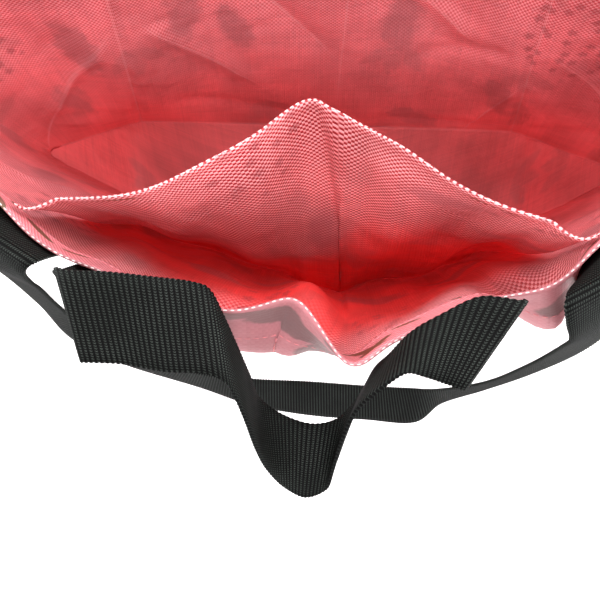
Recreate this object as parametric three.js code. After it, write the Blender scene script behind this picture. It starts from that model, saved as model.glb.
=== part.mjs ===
// Shopping bag sewn from a rice sack: an open bag with a box bottom, an inner pocket and
// two pairs of webbing handles. Millimetres, +Z up. The origin is the middle of the bottom
// that the bag stands on, and the front, with the pocket, faces -Y.
import * as THREE from 'three';

// Driving sizes
const CLOTH = 1.2; // sack cloth, with the air between its slack layers
const HEM_CLOTH = 2.4; // the rim is folded in once
const HEM_DEPTH = 25;
const RIM_HEIGHT = 298; // at the middle of the front
const WEBBING_WIDTH = 38.4;
const WEBBING = 1.6;
const WEBBING_SPANS = 4; // facets across the webbing
const SEWN_GAP = 0.85; // between the wall and the webbing sewn to it
const STITCHED_LENGTH = 62; // of each handle end on the wall
const SEWN_TOP = 0.955; // share of the wall's height where the webbing comes free
const SEWN_ROWS = 7;
const POCKET_FOOT = 0.27; // share of the wall's height where the pocket is sewn on
const POCKET_SIDE_TOP = 0.98; // share of it where the pocket's sewn sides end
const POCKET_ROWS = 11;
const POCKET_GAP = 0.7; // between the hem and the pocket
const POCKET_LEAN = 1.15; // above 1 the panel curves back more towards its top
const SEWN_SIDE = 0.07; // share of the pocket's width that lies along the wall at each side
const FLOOR_ROWS = 4;
const WALL_LEVELS = [
  0, 0.08, 0.17, 0.27, 0.38, 0.49, 0.59, 0.67, 0.74, 0.79, 0.835, 0.875,
  1 - HEM_DEPTH / RIM_HEIGHT - 0.004, 1 - HEM_DEPTH / RIM_HEIGHT, 0.958, 1,
];

const CLOTH_COLOUR = 0xd4525c;
const POCKET_COLOUR = 0xd8404a;
const WEBBING_COLOUR = 0x1c1e1d;

// Rows become objects whose fields are the named columns.
function table(columns, rows) {
  return rows.map((row) => Object.fromEntries(columns.map((name, i) => [name, row[i]])));
}

// Fold lines round the wall, from the left seam along the front to the right seam and back
// behind: where each starts on the bottom edge, where it meets the rim, how far the wall
// bellies out at half height and just under the rim, and the steps to the next line.
const FOLD_LINES = table(
  ['name', 'footX', 'footY', 'footZ', 'rimX', 'rimY', 'rimZ', 'belly', 'lobe', 'steps'],
  [
    ['left seam', -250, 27, 67, -246, 30, 324, 12, 0, 3],
    ['left front side', -218, 15, 33, -206, -28, 314, 14, 0, 3],
    ['left front corner', -186, 5, 0, -151, -76, 300, 8, 2, 3],
    ['pocket left end', -137, -15, 0, -123, -100, 298, 6, 3, 3],
    ['short handle left', -90, -34, 0, -93, -112.5, 298, 6, 2, 3],
    ['left swell', -47, -51, 0, -37, -123, 298, 4, 27, 3],
    ['notch', -12, -65, 0, -0.5, -116, 298, 2, 39, 3],
    ['tip', 14, -76, 0, 21, -148, 298, -6, 5, 3],
    ['tip flank', 52, -61, 0, 42.5, -137, 298, -2, 0, 3],
    ['short handle right', 90, -45, 0, 80, -119, 298, 4, 0, 3],
    ['right lobe', 118, -35, 0, 106, -105, 298, 6, 30, 3],
    ['pocket right end', 146, -24, 0, 131, -89, 298, 8, 0, 3],
    ['right front corner', 182, -10, 0, 160, -66, 301, 10, 0, 3],
    ['right front side', 218, 7, 33, 206, -26, 314, 14, 0, 3],
    ['right seam', 253, 24, 67, 247, 27, 324, 12, 0, 3],
    ['right back side', 218, 55, 33, 205, 73, 314, 8, 0, 3],
    ['right back corner', 181, 87, 0, 132, 104, 300, -4, 0, 8],
    ['back right', 88, 88, 0, 70, 132, 298, 10, 4, 7],
    ['back middle', -5, 87, 0, 0, 126, 298, 6, -4, 7],
    ['back left', -97, 87, 0, -72, 134, 298, 10, 4, 8],
    ['left back corner', -191, 87, 0, -132, 103, 300, -4, 0, 3],
    ['left back side', -221, 57, 33, -204, 76, 314, 8, 0, 3],
  ],
);
const LINES = FOLD_LINES.length;
const RIGHT_SEAM = FOLD_LINES.findIndex((line) => line.name === 'right seam');

// The pocket's top edge, from its left end to its right: the fold line that it lies in
// front of, counted along the rim, and its place.
const POCKET_TOP = table(
  ['line', 'x', 'y', 'z'],
  [
    [2.3, -141, -79, 297],
    [3.1, -117, -78, 294],
    [4.0, -90, -75, 292],
    [4.6, -72, -68.5, 290],
    [5.2, -53, -58, 290],
    [5.7, -30, -43, 288],
    [6.3, -6, -23.5, 286],
    [6.9, 9, -28, 288],
    [7.5, 25, -37.5, 289],
    [8.1, 42, -46.5, 290],
    [8.8, 65, -62, 290],
    [9.4, 86, -73, 292],
    [10.1, 107, -80, 294],
    [11.0, 130, -87, 297],
  ],
);

// A handle lies on two edges of its webbing: the one nearer the bag and the outer one.
const EDGES = ['nearX', 'nearY', 'nearZ', 'outerX', 'outerY', 'outerZ'];

// The short front handle folds over at both ends, lies flat outside the rim and sags
// forwards in a loop.
const SHORT_FRONT = table(EDGES, [
  [-107, -115, 312, -82, -141, 302],
  [-102, -115, 322, -90, -151, 308],
  [-99, -116, 328, -91, -153, 314],
  [-92, -117, 330, -86, -153, 315],
  [-78, -117, 330, -73, -153, 313],
  [-60, -118, 329, -56, -155, 313],
  [-44, -119, 327, -39, -155, 314],
  [-38, -121, 322, -31, -158, 313],
  [-34, -130, 311, -26, -165, 309],
  [-30, -142, 295, -22, -176, 300],
  [-26, -155, 277, -19, -188, 287],
  [-22, -167, 263, -15, -200, 270],
  [-10, -175, 256, -7, -211, 256],
  [5, -179, 254, 3, -216, 251],
  [18, -175, 257, 13, -211, 255],
  [26, -166, 264, 16, -199, 267],
  [30, -158, 272, 19, -184, 284],
  [34, -149, 282, 24, -169, 301],
  [39, -143, 294, 32, -159, 314],
  [46, -134, 308, 42, -151, 319],
  [56, -127, 320, 50, -152, 319],
  [69, -120, 327, 58, -154, 317],
  [85, -121, 328, 66, -156, 316],
  [88, -120, 322, 67, -154, 310],
  [90, -121, 311, 61, -144, 302],
]);

// The long front handle arches over the rim and hangs down in front, clear of the ground.
const LONG_FRONT = table(EDGES, [
  [-117, -111, 310, -151, -92, 310],
  [-125, -115, 304, -160, -95, 304],
  [-132, -117, 284, -164, -103, 284],
  [-138, -118, 262, -167, -109, 247],
  [-146, -123, 225, -170, -121, 200],
  [-144, -134, 185, -167, -140, 156],
  [-123, -149, 145, -144, -156, 114],
  [-82, -160, 112, -93, -172, 78],
  [-48, -163, 95, -51, -185, 64],
  [-3, -163, 88, -2, -191, 60],
  [41, -164, 86, 44, -192, 60],
  [74, -164, 87, 84, -192, 61],
  [95, -163, 104, 103, -175, 73],
  [118, -155, 150, 123, -162, 118],
  [129, -143, 202, 139, -149, 170],
  [130, -133, 252, 152, -134, 221],
  [120, -132, 285, 152, -119, 268],
  [112, -127, 302, 144, -106, 302],
  [108, -117, 311, 141, -97, 311],
]);

// Behind, the short handle stands up in an arch and the long one hangs down the wall.
// Each is half a handle, from the wall to its middle at x = 0.
const SHORT_BACK_HALF = table(EDGES, [
  [-72, 139, 316, -107, 129, 318],
  [-70, 139, 338, -100, 152, 340],
  [-58, 137, 362, -76, 167, 368],
  [-32, 142, 386, -38, 177, 387],
  [0, 144, 394, 0, 180, 393],
]);
const LONG_BACK_HALF = table(EDGES, [
  [-112, 131, 312, -145, 111, 312],
  [-116, 142, 310, -149, 123, 310],
  [-120, 151, 294, -153, 133, 294],
  [-120, 157, 240, -144, 184, 236],
  [-105, 156, 170, -122, 189, 158],
  [-70, 154, 112, -78, 190, 98],
  [-32, 153, 88, -35, 189, 76],
  [0, 152, 82, 0, 188, 70],
]);

// Ends of the handles on the wall: the fold line that the webbing's middle lies on.
const ENDS = {
  shortFront: { start: 4.0, finish: 8.7 },
  longFront: { start: 2.62, finish: 11.05 },
  shortBack: { start: 19.12, finish: 16.88 },
  longBack: { start: 19.8, finish: 16.22 },
};

function spline(before, from, to, after, share) {
  const a = 2 * from;
  const b = to - before;
  const c = 2 * before - 5 * from + 4 * to - after;
  const d = -before + 3 * from - 3 * to + after;
  return 0.5 * (a + b * share + c * share ** 2 + d * share ** 3);
}

function hump(at, middle, halfWidth) {
  return Math.exp(-(((at - middle) / halfWidth) ** 2));
}

// A column's value at a place along the fold lines, straight or smooth between them.
function around(column, at, smooth) {
  const whole = Math.floor(at);
  const share = at - whole;
  const [before, from, to, after] = [-1, 0, 1, 2].map(
    (step) => FOLD_LINES[(whole + step + LINES) % LINES][column],
  );
  return smooth ? spline(before, from, to, after, share) : from + (to - from) * share;
}

// The wall before it bellies out: the bottom edge has straight sides and the rim is soft.
function slackWall(at, level) {
  const foot = ['footX', 'footY', 'footZ'].map((column) => around(column, at, false));
  const rim = ['rimX', 'rimY', 'rimZ'].map((column) => around(column, at, true));
  return new THREE.Vector3(...foot).lerp(new THREE.Vector3(...rim), level);
}

function outwards(at) {
  const along = slackWall(at + 0.4, 0.6).sub(slackWall(at - 0.4, 0.6));
  return new THREE.Vector3(along.y, -along.x, 0).normalize();
}

// Soft waves in the wall between its fold lines.
function waves(at, level) {
  const slow = 3.2 * Math.sin(2.1 * at + 5 * level);
  const quick = 1.8 * Math.sin(4.7 * at - 9 * level + 1);
  return (slow + quick) * Math.sin(Math.PI * level);
}

// The outer face of the wall, with its lobes under the rim or without them.
function wallPoint(at, level, lobes = true) {
  const belly = around('belly', at, true) * Math.sin(Math.PI * level);
  const lobe = lobes ? around('lobe', at, true) * hump(level, 0.87, 0.1) : 0;
  return slackWall(at, level).addScaledVector(outwards(at), belly + lobe + waves(at, level));
}

function wallNormal(at, level, lobes = true) {
  const along = wallPoint(at + 0.05, level, lobes).sub(wallPoint(at - 0.05, level, lobes));
  const above = wallPoint(at, Math.min(1, level + 0.02), lobes);
  return along.cross(above.sub(wallPoint(at, level - 0.02, lobes))).normalize();
}

// A grid of points as triangles, facing the side from which its rows run up to the left.
function gridTriangles(rows, columns) {
  const triangles = [];
  for (let row = 0; row < rows - 1; row += 1) {
    for (let column = 0; column < columns - 1; column += 1) {
      const corner = row * columns + column;
      const above = corner + columns;
      triangles.push([corner, corner + 1, above + 1], [corner, above + 1, above]);
    }
  }
  return triangles;
}

// Closes a sheet into a solid: its face is moved out by one amount and in by another, and
// a strip closes it along its free edges.
function thicken(points, triangles, outer, inner) {
  const normals = points.map(() => new THREE.Vector3());
  for (const [a, b, c] of triangles) {
    const across = points[c].clone().sub(points[a]);
    const normal = points[b].clone().sub(points[a]).cross(across);
    for (const corner of [a, b, c]) normals[corner].add(normal);
  }
  normals.forEach((normal) => normal.normalize());
  const front = points.map((point, i) => point.clone().addScaledVector(normals[i], outer(i)));
  const back = points.map((point, i) => point.clone().addScaledVector(normals[i], -inner(i)));
  const edges = new Map();
  for (const [a, b, c] of triangles) {
    for (const [from, to] of [[a, b], [b, c], [c, a]]) edges.set(`${from},${to}`, [from, to]);
  }
  const count = points.length;
  const index = [];
  for (const [a, b, c] of triangles) index.push(a, b, c, a + count, c + count, b + count);
  for (const [from, to] of edges.values()) {
    if (edges.has(`${to},${from}`)) continue;
    index.push(from, from + count, to + count, from, to + count, to);
  }
  const geometry = new THREE.BufferGeometry();
  const places = [...front, ...back].flatMap((point) => point.toArray());
  geometry.setAttribute('position', new THREE.Float32BufferAttribute(places, 3));
  geometry.setIndex(index);
  geometry.computeVertexNormals();
  return geometry;
}

function piece(name, geometry, color, roughness) {
  const material = new THREE.MeshStandardMaterial({ color, roughness, metalness: 0 });
  const mesh = new THREE.Mesh(geometry, material);
  mesh.name = name;
  return mesh;
}

// Every place along the fold lines that has a column of points.
function ringPlaces() {
  return FOLD_LINES.flatMap(({ steps }, line) =>
    Array.from({ length: steps }, (_, step) => line + step / steps),
  );
}

// One piece of cloth: the wall with its hem, the bottom and the two end facets, which
// slope up from the bottom to the foot of the side seams.
function sackBody() {
  const places = ringPlaces();
  const ring = places.length;
  const points = WALL_LEVELS.flatMap((level) => places.map((at) => wallPoint(at, level)));
  const triangles = [];
  for (let level = 0; level < WALL_LEVELS.length - 1; level += 1) {
    for (let column = 0; column < ring; column += 1) {
      const corner = level * ring + column;
      const next = level * ring + ((column + 1) % ring);
      triangles.push([corner, next, next + ring], [corner, next + ring, corner + ring]);
    }
  }
  const half = places.indexOf(RIGHT_SEAM);
  const frontFoot = (column) => column;
  const backFoot = (column) => (ring - column) % ring;
  const rows = [Array.from({ length: half + 1 }, (_, column) => frontFoot(column))];
  for (let row = 1; row < FLOOR_ROWS; row += 1) {
    rows.push(
      Array.from({ length: half + 1 }, (_, column) => {
        if (column === 0 || column === half) return frontFoot(column);
        const near = points[frontFoot(column)];
        points.push(near.clone().lerp(points[backFoot(column)], row / FLOOR_ROWS));
        return points.length - 1;
      }),
    );
  }
  rows.push(Array.from({ length: half + 1 }, (_, column) => backFoot(column)));
  for (let row = 0; row < FLOOR_ROWS; row += 1) {
    for (let column = 0; column < half; column += 1) {
      const [a, b] = [rows[row][column], rows[row][column + 1]];
      const [c, d] = [rows[row + 1][column], rows[row + 1][column + 1]];
      if (a !== c) triangles.push([a, c, d]);
      if (b !== d) triangles.push([a, d, b]);
    }
  }
  const hemStart = WALL_LEVELS.indexOf(1 - HEM_DEPTH / RIM_HEIGHT) * ring;
  const wallEnd = WALL_LEVELS.length * ring;
  const inner = (i) => (i >= hemStart && i < wallEnd ? HEM_CLOTH : CLOTH);
  return piece('sack_body', thicken(points, triangles, () => 0, inner), CLOTH_COLOUR, 0.45);
}

// The pocket's panel: its sides and foot follow the inside of the front wall, and its top
// leans back, farthest at the crease in its middle. It hangs behind the wall's lobes.
function innerPocket() {
  const spans = POCKET_TOP.length - 1;
  const columns = spans * 2 + 1;
  const topEdge = (field, place) => {
    const whole = Math.min(Math.floor(place), spans - 1);
    const pick = (step) => POCKET_TOP[THREE.MathUtils.clamp(whole + step, 0, spans)][field];
    return spline(pick(-1), pick(0), pick(1), pick(2), place - whole);
  };
  const inset = HEM_CLOTH + POCKET_GAP + CLOTH / 2;
  const onWall = (at, level) =>
    wallPoint(at, level, false).addScaledVector(wallNormal(at, level, false), -inset);
  const points = [];
  for (let row = 0; row < POCKET_ROWS; row += 1) {
    const height = row / (POCKET_ROWS - 1);
    for (let column = 0; column < columns; column += 1) {
      const place = column / 2;
      const at = topEdge('line', place);
      const fromSide = Math.min(column, columns - 1 - column) / (columns - 1);
      const top = new THREE.Vector3(...['x', 'y', 'z'].map((axis) => topEdge(axis, place)));
      const pull = top.sub(onWall(at, POCKET_SIDE_TOP));
      const lean = height ** POCKET_LEAN * Math.min(1, fromSide / SEWN_SIDE);
      const level = THREE.MathUtils.lerp(POCKET_FOOT, POCKET_SIDE_TOP, height);
      points.push(onWall(at, level).addScaledVector(pull, lean));
    }
  }
  const half = () => CLOTH / 2;
  const geometry = thicken(points, gridTriangles(POCKET_ROWS, columns), half, half);
  return piece('inner_pocket', geometry, POCKET_COLOUR, 0.45);
}

// The points across the webbing, from its near edge to its outer one.
function acrossWebbing(pointAt) {
  return Array.from({ length: WEBBING_SPANS + 1 }, (_, i) => pointAt(i / WEBBING_SPANS));
}

// A row of them where the webbing is sewn on the wall: it bridges the wall's hollows.
function sewnRow(at, level, leftToRight) {
  const nearby = [[0.25, 0], [-0.25, 0], [0, 0.03], [0, -0.03]];
  const onWall = (place) => {
    const foot = wallPoint(place, level);
    const normal = wallNormal(place, level);
    const rises = nearby.map(([along, up]) =>
      wallPoint(place + along, level + up).sub(foot).dot(normal),
    );
    const lift = Math.max(0, ...rises) + SEWN_GAP + WEBBING / 2;
    return foot.addScaledVector(normal, lift);
  };
  const perLine = onWall(at + 0.2).distanceTo(onWall(at - 0.2)) / 0.4;
  const reach = WEBBING_WIDTH / 2 / perLine;
  return acrossWebbing((share) => onWall(at + (2 * share - 1) * reach * leftToRight));
}

function freeRow({ nearX, nearY, nearZ, outerX, outerY, outerZ }) {
  const near = new THREE.Vector3(nearX, nearY, nearZ);
  const outer = new THREE.Vector3(outerX, outerY, outerZ);
  return acrossWebbing((share) => near.clone().lerp(outer, share));
}

// Sections of a whole handle: up the wall, along its free length and down the wall.
function handleRows(free, { start, finish }, nearFirst) {
  const sewn = Array.from(
    { length: SEWN_ROWS },
    (_, row) => SEWN_TOP - ((1 - row / (SEWN_ROWS - 1)) * STITCHED_LENGTH) / RIM_HEIGHT,
  );
  const rising = sewn.map((level) => sewnRow(start, level, nearFirst));
  const falling = sewn.map((level) => sewnRow(finish, level, -nearFirst)).reverse();
  return [...rising, ...free.map(freeRow), ...falling];
}

function handle(name, rows, stepsBetween) {
  const points = [];
  for (let row = 0; row < rows.length - 1; row += 1) {
    const pick = (step) => rows[THREE.MathUtils.clamp(row + step, 0, rows.length - 1)];
    const sewn = Math.min(row, rows.length - 2 - row) < SEWN_ROWS - 1;
    const steps = sewn ? 1 : stepsBetween;
    for (let step = 0; step < steps; step += 1) {
      for (let across = 0; across <= WEBBING_SPANS; across += 1) {
        const [before, from, to, after] = [-1, 0, 1, 2].map((by) => pick(by)[across]);
        const place = ['x', 'y', 'z'].map((axis) =>
          spline(before[axis], from[axis], to[axis], after[axis], step / steps),
        );
        points.push(new THREE.Vector3(...place));
      }
    }
  }
  points.push(...rows[rows.length - 1].map((point) => point.clone()));
  const half = () => WEBBING / 2;
  const across = WEBBING_SPANS + 1;
  const geometry = thicken(points, gridTriangles(points.length / across, across), half, half);
  return piece(name, geometry, WEBBING_COLOUR, 0.8);
}

// The second half of a back handle is the first one mirrored.
function bothHalves(half) {
  const mirrored = half
    .slice(0, -1)
    .reverse()
    .map((row) => ({ ...row, nearX: -row.nearX, outerX: -row.outerX }));
  return [...half, ...mirrored];
}

const bag = new THREE.Group();
bag.add(sackBody());
bag.add(innerPocket());
bag.add(handle('front_short_handle', handleRows(SHORT_FRONT, ENDS.shortFront, 1), 1));
bag.add(handle('front_long_handle', handleRows(LONG_FRONT, ENDS.longFront, -1), 2));
bag.add(handle('back_short_handle', handleRows(bothHalves(SHORT_BACK_HALF), ENDS.shortBack, 1), 3));
bag.add(handle('back_long_handle', handleRows(bothHalves(LONG_BACK_HALF), ENDS.longBack, 1), 2));

export default bag;
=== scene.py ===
# Rice sack shopping bag, seen from just above its front rim: the cloth, its folds and weave,
# the sewing, the printed film and the ribbed webbing. The wall and the handles follow the
# same fold lines and edges as the solids. Sizes are millimetres, and places on the cloth are
# (at, level): a fold line's number, counted round the bag from its left seam along the
# front, and a share of the wall's height.
from math import atan2, degrees, hypot, pi, radians

import bpy
import numpy as np
from mathutils import Matrix, Vector


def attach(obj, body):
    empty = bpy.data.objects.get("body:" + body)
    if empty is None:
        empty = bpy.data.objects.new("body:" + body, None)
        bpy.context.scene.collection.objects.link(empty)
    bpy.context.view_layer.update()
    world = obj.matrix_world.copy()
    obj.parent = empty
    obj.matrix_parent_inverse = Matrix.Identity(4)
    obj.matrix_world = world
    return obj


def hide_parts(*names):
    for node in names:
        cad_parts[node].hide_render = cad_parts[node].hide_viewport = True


MM = 0.001

# Driving sizes, as in the solids
RIM_HEIGHT = 298.0
HEM_DEPTH = 25.0
HEM_BOTTOM = 1 - HEM_DEPTH / RIM_HEIGHT
WEBBING_WIDTH = 38.4
SEWN_GAP = 0.85
WEBBING = 1.6
STITCHED_LENGTH = 62.0
SEWN_TOP = 0.955
SEWN_ROWS = 7
ACROSS = 5  # points across the webbing in each of its sections
POCKET_FOOT = 0.27
POCKET_SIDE_TOP = 0.98
POCKET_GAP = 0.7
POCKET_LEAN = 1.15
SEWN_SIDE = 0.07
SOLID_CLOTH = 1.2
SOLID_HEM = 2.4
LOBE_LEVEL = 0.87
LOBE_HEIGHT = 0.1
OUTWARDS_LEVEL = 0.6  # where the way out of the bag is taken
OUTWARDS_STEP = 0.4
WAVES = [(3.2, 2.1, 5, 0), (1.8, 4.7, -9, 1)]  # depth, turns along, turns up and start
NEAR_LINE = 0.05  # steps along and up the wall for its normal
NEAR_LEVEL = 0.02

# Finer sizes of the cloth, the sewing and the webbing
CLOTH = 0.6
HEM_CLOTH = 1.5
TAPE = 1.6  # width of one woven tape
ROUNDING = 0.16  # fold lines over which a fold is rounded at the foot
FOOT_SHARE = 0.1  # of the panel's height, which eases onto the seen wall
FOOT_INSET = 1.5 * CLOTH + 0.1  # from the wall's outer face to the middle of the panel's foot
# The pocket's colour on the wall is painted shade: a darker copy of the inside tapes.
BELOW_FOOT = 0.12  # how far the pocket's colour goes on down the wall
COLUMNS_FRONT = [16, 16, 12, 12, 14, 12, 12, 12, 12, 8, 8, 10, 16, 16]
COLUMNS_BACK = [18, 20, 25, 25, 25, 25, 20, 18]
WALL_ROWS = 66
HEM_ROWS = 8
HEM_STEP = 0.004  # share of the height in which the cloth grows to the hem's thickness
BEFORE_SEAM = 1e-6  # fold lines, so that the last column ends the first turn of cloth
FLOOR_ROWS = 48
POCKET_ROWS = 64
POCKET_COLUMNS_PER_SPAN = 9
POCKET_HEM = 9.0
RIB_PITCH = 2.25
RIB_HEIGHT = 0.55
STITCH_IN_RIB = 1.15
RIB_ROUNDNESS = 0.7  # below 1 for a flatter crown
RIB_SUNK = 0.6  # share of a rib's height that lies below the band's face
ROWS_PER_RIB = 4
WEBBING_COLUMNS = 9
BAND = WEBBING - 0.2  # thickness of the webbing under its ribs


def table(columns, rows):
    """Rows of values as dictionaries under their columns' names."""
    return [dict(zip(columns, row)) for row in rows]


FOLD_LINES = table(
    ["name", "footX", "footY", "footZ", "rimX", "rimY", "rimZ", "belly", "lobe"],
    [
        ["left seam", -250, 27, 67, -246, 30, 324, 12, 0],
        ["left front side", -218, 15, 33, -206, -28, 314, 14, 0],
        ["left front corner", -186, 5, 0, -151, -76, 300, 8, 2],
        ["pocket left end", -137, -15, 0, -123, -100, 298, 6, 3],
        ["short handle left", -90, -34, 0, -93, -112.5, 298, 6, 2],
        ["left swell", -47, -51, 0, -37, -123, 298, 4, 27],
        ["notch", -12, -65, 0, -0.5, -116, 298, 2, 39],
        ["tip", 14, -76, 0, 21, -148, 298, -6, 5],
        ["tip flank", 52, -61, 0, 42.5, -137, 298, -2, 0],
        ["short handle right", 90, -45, 0, 80, -119, 298, 4, 0],
        ["right lobe", 118, -35, 0, 106, -105, 298, 6, 30],
        ["pocket right end", 146, -24, 0, 131, -89, 298, 8, 0],
        ["right front corner", 182, -10, 0, 160, -66, 301, 10, 0],
        ["right front side", 218, 7, 33, 206, -26, 314, 14, 0],
        ["right seam", 253, 24, 67, 247, 27, 324, 12, 0],
        ["right back side", 218, 55, 33, 205, 73, 314, 8, 0],
        ["right back corner", 181, 87, 0, 132, 104, 300, -4, 0],
        ["back right", 88, 88, 0, 70, 132, 298, 10, 4],
        ["back middle", -5, 87, 0, 0, 126, 298, 6, -4],
        ["back left", -97, 87, 0, -72, 134, 298, 10, 4],
        ["left back corner", -191, 87, 0, -132, 103, 300, -4, 0],
        ["left back side", -221, 57, 33, -204, 76, 314, 8, 0],
    ],
)
LINES = len(FOLD_LINES)

POCKET_TOP = table(
    ["line", "x", "y", "z"],
    [
        [2.3, -141, -79, 297],
        [3.1, -117, -78, 294],
        [4.0, -90, -75, 292],
        [4.6, -72, -68.5, 290],
        [5.2, -53, -58, 290],
        [5.7, -30, -43, 288],
        [6.3, -6, -23.5, 286],
        [6.9, 9, -28, 288],
        [7.5, 25, -37.5, 289],
        [8.1, 42, -46.5, 290],
        [8.8, 65, -62, 290],
        [9.4, 86, -73, 292],
        [10.1, 107, -80, 294],
        [11.0, 130, -87, 297],
    ],
)

# The two edges of a handle's webbing where it hangs free: nearX, nearY, nearZ, outerX,
# outerY, outerZ. The back's handles are given by their left halves.
SHORT_FRONT = [
    [-107, -115, 312, -82, -141, 302],
    [-102, -115, 322, -90, -151, 308],
    [-99, -116, 328, -91, -153, 314],
    [-92, -117, 330, -86, -153, 315],
    [-78, -117, 330, -73, -153, 313],
    [-60, -118, 329, -56, -155, 313],
    [-44, -119, 327, -39, -155, 314],
    [-38, -121, 322, -31, -158, 313],
    [-34, -130, 311, -26, -165, 309],
    [-30, -142, 295, -22, -176, 300],
    [-26, -155, 277, -19, -188, 287],
    [-22, -167, 263, -15, -200, 270],
    [-10, -175, 256, -7, -211, 256],
    [5, -179, 254, 3, -216, 251],
    [18, -175, 257, 13, -211, 255],
    [26, -166, 264, 16, -199, 267],
    [30, -158, 272, 19, -184, 284],
    [34, -149, 282, 24, -169, 301],
    [39, -143, 294, 32, -159, 314],
    [46, -134, 308, 42, -151, 319],
    [56, -127, 320, 50, -152, 319],
    [69, -120, 327, 58, -154, 317],
    [85, -121, 328, 66, -156, 316],
    [88, -120, 322, 67, -154, 310],
    [90, -121, 311, 61, -144, 302],
]
LONG_FRONT = [
    [-117, -111, 310, -151, -92, 310],
    [-125, -115, 304, -160, -95, 304],
    [-132, -117, 284, -164, -103, 284],
    [-138, -118, 262, -167, -109, 247],
    [-146, -123, 225, -170, -121, 200],
    [-144, -134, 185, -167, -140, 156],
    [-123, -149, 145, -144, -156, 114],
    [-82, -160, 112, -93, -172, 78],
    [-48, -163, 95, -51, -185, 64],
    [-3, -163, 88, -2, -191, 60],
    [41, -164, 86, 44, -192, 60],
    [74, -164, 87, 84, -192, 61],
    [95, -163, 104, 103, -175, 73],
    [118, -155, 150, 123, -162, 118],
    [129, -143, 202, 139, -149, 170],
    [130, -133, 252, 152, -134, 221],
    [120, -132, 285, 152, -119, 268],
    [112, -127, 302, 144, -106, 302],
    [108, -117, 311, 141, -97, 311],
]
SHORT_BACK_HALF = [
    [-72, 139, 316, -107, 129, 318],
    [-70, 139, 338, -100, 152, 340],
    [-58, 137, 362, -76, 167, 368],
    [-32, 142, 386, -38, 177, 387],
    [0, 144, 394, 0, 180, 393],
]
LONG_BACK_HALF = [
    [-112, 131, 312, -145, 111, 312],
    [-116, 142, 310, -149, 123, 310],
    [-120, 151, 294, -153, 133, 294],
    [-120, 157, 240, -144, 184, 236],
    [-105, 156, 170, -122, 189, 158],
    [-70, 154, 112, -78, 190, 98],
    [-32, 153, 88, -35, 189, 76],
    [0, 152, 82, 0, 188, 70],
]

# Creases in the wall, from one place on the cloth to another: how far they stand out of the
# bag's outside, or into it where negative, and how wide they are.
WALL_CREASES = table(
    ["name", "at1", "level1", "at2", "level2", "depth", "width"],
    [
        ["left front corner", 2, 0.0, 2, 0.8, 1.6, 3],
        ["right front corner", 12, 0.0, 12, 0.85, 1.6, 3],
        ["left back corner", 20, 0.0, 19.95, 0.8, 3.0, 2.4],
        ["right back corner", 16, 0.0, 16.05, 0.85, 3.0, 2.4],
        ["left seam", 0, 0.0, 0, 1.0, 1.0, 2.5],
        ["right seam", 14, 0.0, 14, 1.0, 1.0, 2.5],
        ["left wall ridge", 20.2, 0.44, 21.5, 0.13, -4.0, 5],
        ["left wall hollow", 20.5, 0.52, 21.7, 0.24, 1.8, 9],
        ["left knot up", 21.85, 0.03, 21.2, 0.2, 1.6, 4],
        ["left knot down", 21.9, 0.02, 22.6, 0.12, -1.8, 4],
        ["left knot front", 0.1, 0.04, 1.2, 0.18, 1.4, 5],
        ["left wall low", 20.2, 0.05, 21.3, 0.1, -1.4, 7],
        ["back fold left", 19.75, 0.5, 18.7, 0.2, -4.2, 8],
        ["back fold low", 19.6, 0.14, 18.2, 0.05, 3.0, 7],
        ["back fold middle", 18.9, 0.62, 18.0, 0.34, 4.0, 10],
        ["back line", 17.75, 0.8, 17.85, 0.15, -1.0, 2.5],
        ["back fold high", 17.5, 0.58, 16.6, 0.42, -4.0, 8],
        ["back fold right", 17.2, 0.3, 16.2, 0.44, 3.4, 7],
        ["back corner fold", 16.5, 0.02, 16.05, 0.3, -2.0, 5],
        ["back step", 17.5, 0.05, 16.1, 0.04, 1.6, 4],
        ["right wall fold", 15.8, 0.45, 14.6, 0.2, -2.0, 8],
        ["right wall low", 15.7, 0.06, 14.4, 0.14, 1.6, 6],
        ["right seam fold", 14.3, 0.75, 14.6, 0.2, -1.6, 9],
        ["left seam fold", 21.4, 0.8, 21.7, 0.35, -1.6, 10],
        ["front left fold", 1.1, 0.75, 2.4, 0.2, -2.0, 9],
        ["front left crease", 2.6, 0.1, 4.4, 0.3, -1.6, 6],
        ["front fold", 4.4, 0.55, 5.8, 0.15, -2.2, 9],
        ["front middle fold", 6.9, 0.7, 7.1, 0.05, 1.4, 4],
        ["front right fold", 8.2, 0.5, 9.8, 0.12, -2.0, 9],
        ["front right crease", 10.2, 0.3, 11.8, 0.1, 1.6, 6],
        ["right front fold", 12.4, 0.6, 13.6, 0.3, -2.0, 9],
    ],
)
# Small swells of the front's lobe: fold line, half width, half height and way out.
SWELLS = [(6.35, 0.25, 0.08, (5.0, -8.0, 0.0)), (5.7, 0.4, 0.1, (0.0, 5.0, 0.0))]
SMALL_CREASES = 90
FLOOR_CREASES = 26
POCKET_SMALL_CREASES = 22
SMALL_CREASE_SEED = 11
CREASE_TAPER = 5  # how quickly a crease grows from its ends
CREASE_END = 0.25  # share of its depth that it has there
CREASE_EDGE = 0.8  # below 1 for a sharper top with longer sides

# Where the cloth is held it creases less.
RIM_HELD = 0.97
RIM_CREASE = 0.1  # share of the creases that is left at the rim
HELD_FADE = 0.06
FOOT_HELD = 0.05
HANDLES_FROM = 0.66  # the level from which the handles' ends hold the wall
HANDLE_REACH = 0.5  # fold lines on each side of an end's middle
HANDLE_FADE = 1.6  # reaches from the middle at which the hold ends, after a fade over one


def column(lines, *names):
    """One column of a table, or several side by side, as an array."""
    values = np.array([[line[name] for name in names] for line in lines], float)
    return values[:, 0] if len(names) == 1 else values


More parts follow.
